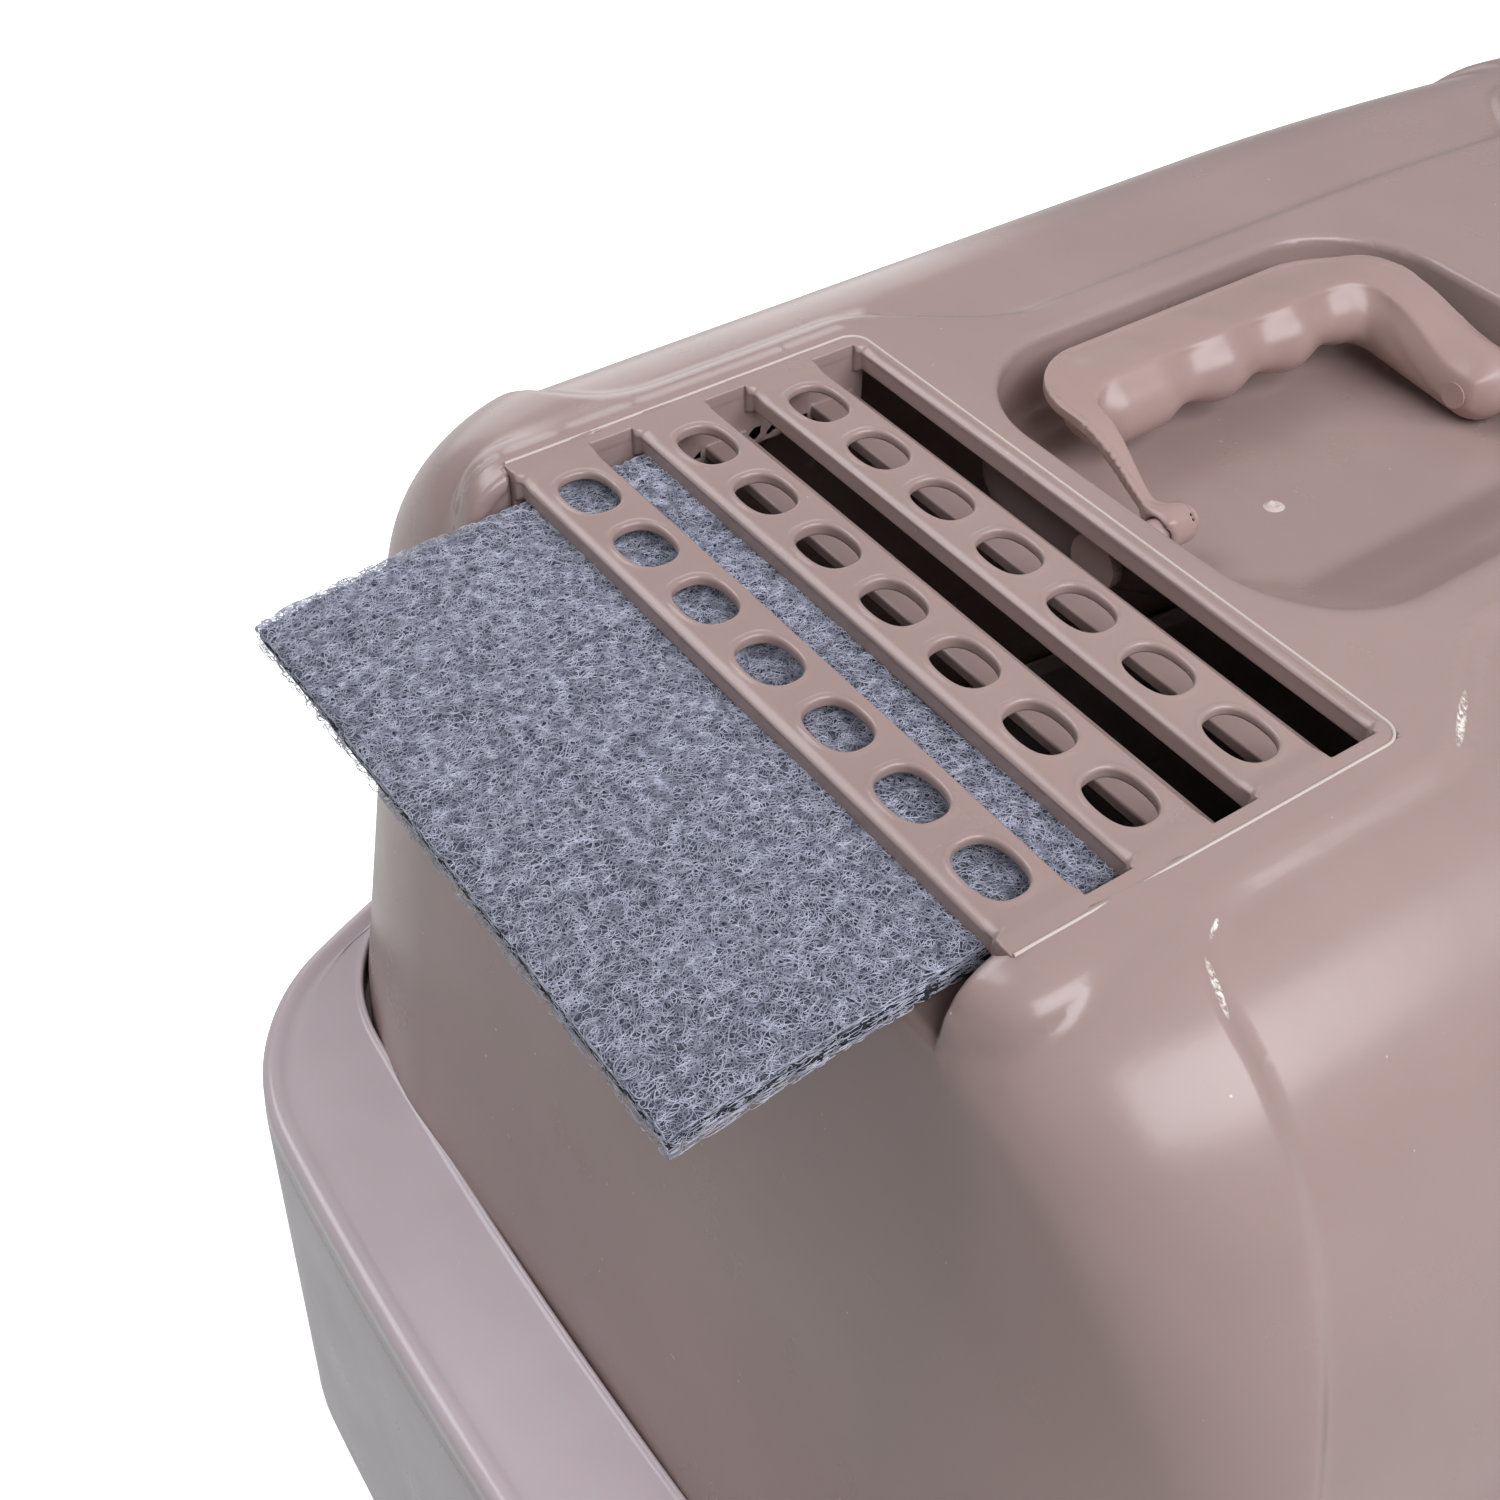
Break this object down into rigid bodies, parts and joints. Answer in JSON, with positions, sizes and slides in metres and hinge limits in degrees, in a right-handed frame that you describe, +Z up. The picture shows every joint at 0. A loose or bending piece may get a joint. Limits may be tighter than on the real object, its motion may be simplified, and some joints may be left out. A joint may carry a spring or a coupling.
{
  "type": "cat litter box with hood",
  "caption": "Hooded cat litter box: deep pan with a rim, lift-off hood with a filter grille and fold-down handle, sliding carbon filter, swinging flap and side latches.",
  "frame": {"origin": "middle of the footprint, on the surface that the pan stands on, with the filter drawn part way out", "axes": "+Z up, -Y towards the cat's entry, +Y towards the filter, +X to the right of someone facing the entry"},
  "size_m": [0.4216, 0.4912, 0.3716],
  "materials": {
    "pan": "moulded taupe plastic, semi-gloss",
    "rim": "moulded pinkish taupe plastic, glossy",
    "hood": "moulded mauve-brown plastic, glossy",
    "trim": "moulded warm brown plastic, glossy",
    "flap": "translucent smoke plastic",
    "filter_felt": "blue-grey non-woven felt with light fibres",
    "pin_steel": "drawn steel"
  },
  "bodies": {
    "tray": {"base_pan": "pan", "rim_frame": "rim"},
    "hood": {"hood_shell": "hood", "entry_frame": "trim", "flap_pin_left": "trim", "flap_pin_right": "trim", "handle_pin_rear": "trim", "handle_pin_front": "trim", "latch_pin_left": "pin_steel", "latch_pin_right": "pin_steel"},
    "handle": {"carry_handle": "trim"},
    "filter": {"carbon_filter": "filter_felt"},
    "flap": {"flap_door": "flap"},
    "latch_left": {"side_latch_left": "trim"},
    "latch_right": {"side_latch_right": "trim"}
  },
  "joints": [
    {"name": "hood_lift", "type": "slide", "parent": "tray", "child": "hood", "axis": [0, 0, 1], "range_m": [0, 0.25]},
    {"name": "handle_fold", "type": "hinge", "parent": "hood", "child": "handle", "pos_m": [0, 0.03678, 0.34808], "axis": [0, -0.9954, 0.0958], "range_deg": [0, 100]},
    {"name": "filter_slide", "type": "slide", "parent": "hood", "child": "filter", "axis": [0, 0.9954, -0.0958], "range_m": [-0.05, 0.04]},
    {"name": "flap_swing", "type": "hinge", "parent": "hood", "child": "flap", "pos_m": [0, -0.203, 0.3087], "axis": [1, 0, 0], "range_deg": [-75, 75]},
    {"name": "latch_left_turn", "type": "hinge", "parent": "hood", "child": "latch_left", "pos_m": [-0.1715, 0, 0.18], "axis": [0, 1, 0], "range_deg": [0, 100]},
    {"name": "latch_right_turn", "type": "hinge", "parent": "hood", "child": "latch_right", "pos_m": [0.1715, 0, 0.18], "axis": [0, -1, 0], "range_deg": [0, 100]}
  ]
}
